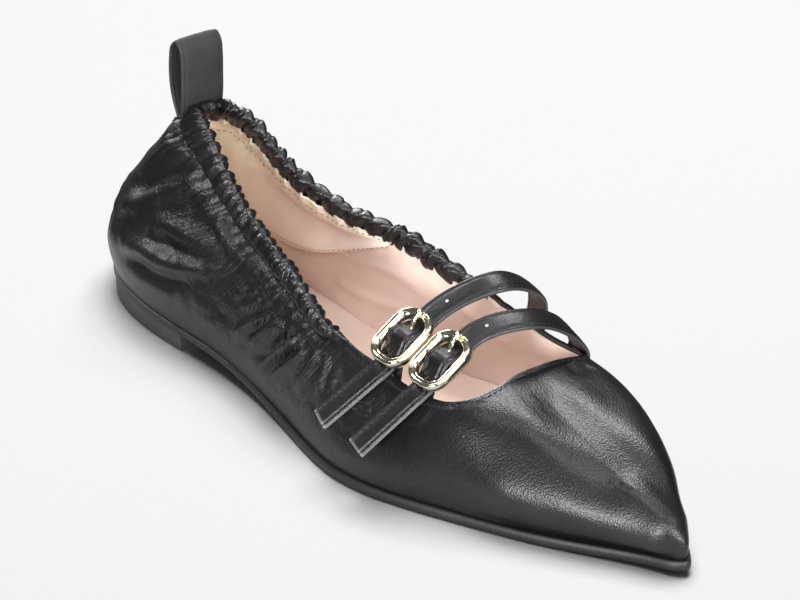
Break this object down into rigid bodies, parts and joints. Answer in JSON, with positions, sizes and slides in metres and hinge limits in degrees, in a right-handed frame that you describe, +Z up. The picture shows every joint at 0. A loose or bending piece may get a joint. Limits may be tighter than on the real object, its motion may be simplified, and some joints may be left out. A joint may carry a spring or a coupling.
{
  "type": "ballet flat",
  "caption": "Pointed leather ballet flat for the right foot, with a gathered elastic collar, a heel pull loop and buckled straps over the instep.",
  "frame": {"origin": "middle of the heel's tread, on the floor", "axes": "+X towards the toe, +Y towards the inner side of the foot, +Z up"},
  "size_m": [0.2659, 0.0844, 0.0908],
  "materials": {
    "black_leather": "soft black leather with a fine grain and a low sheen",
    "black_binding": "glossier black leather gathered over elastic",
    "sole_rubber": "matt dark grey to black sole",
    "blush_lining": "matt blush pink lining leather",
    "pale_gold_metal": "polished pale gold plating",
    "black_elastic": "ribbed woven elastic"
  },
  "bodies": {
    "root": {"outsole": "sole_rubber", "heel": "sole_rubber", "insole": "blush_lining", "upper": "black_leather", "collar_binding": "black_binding", "strap_rear": "black_leather", "strap_front": "black_leather", "buckle_rear": "pale_gold_metal", "buckle_front": "pale_gold_metal", "prong_rear": "pale_gold_metal", "prong_front": "pale_gold_metal", "chape_rear": "black_elastic", "chape_front": "black_elastic", "pull_loop": "black_leather", "backstay": "black_leather"}
  },
  "joints": []
}
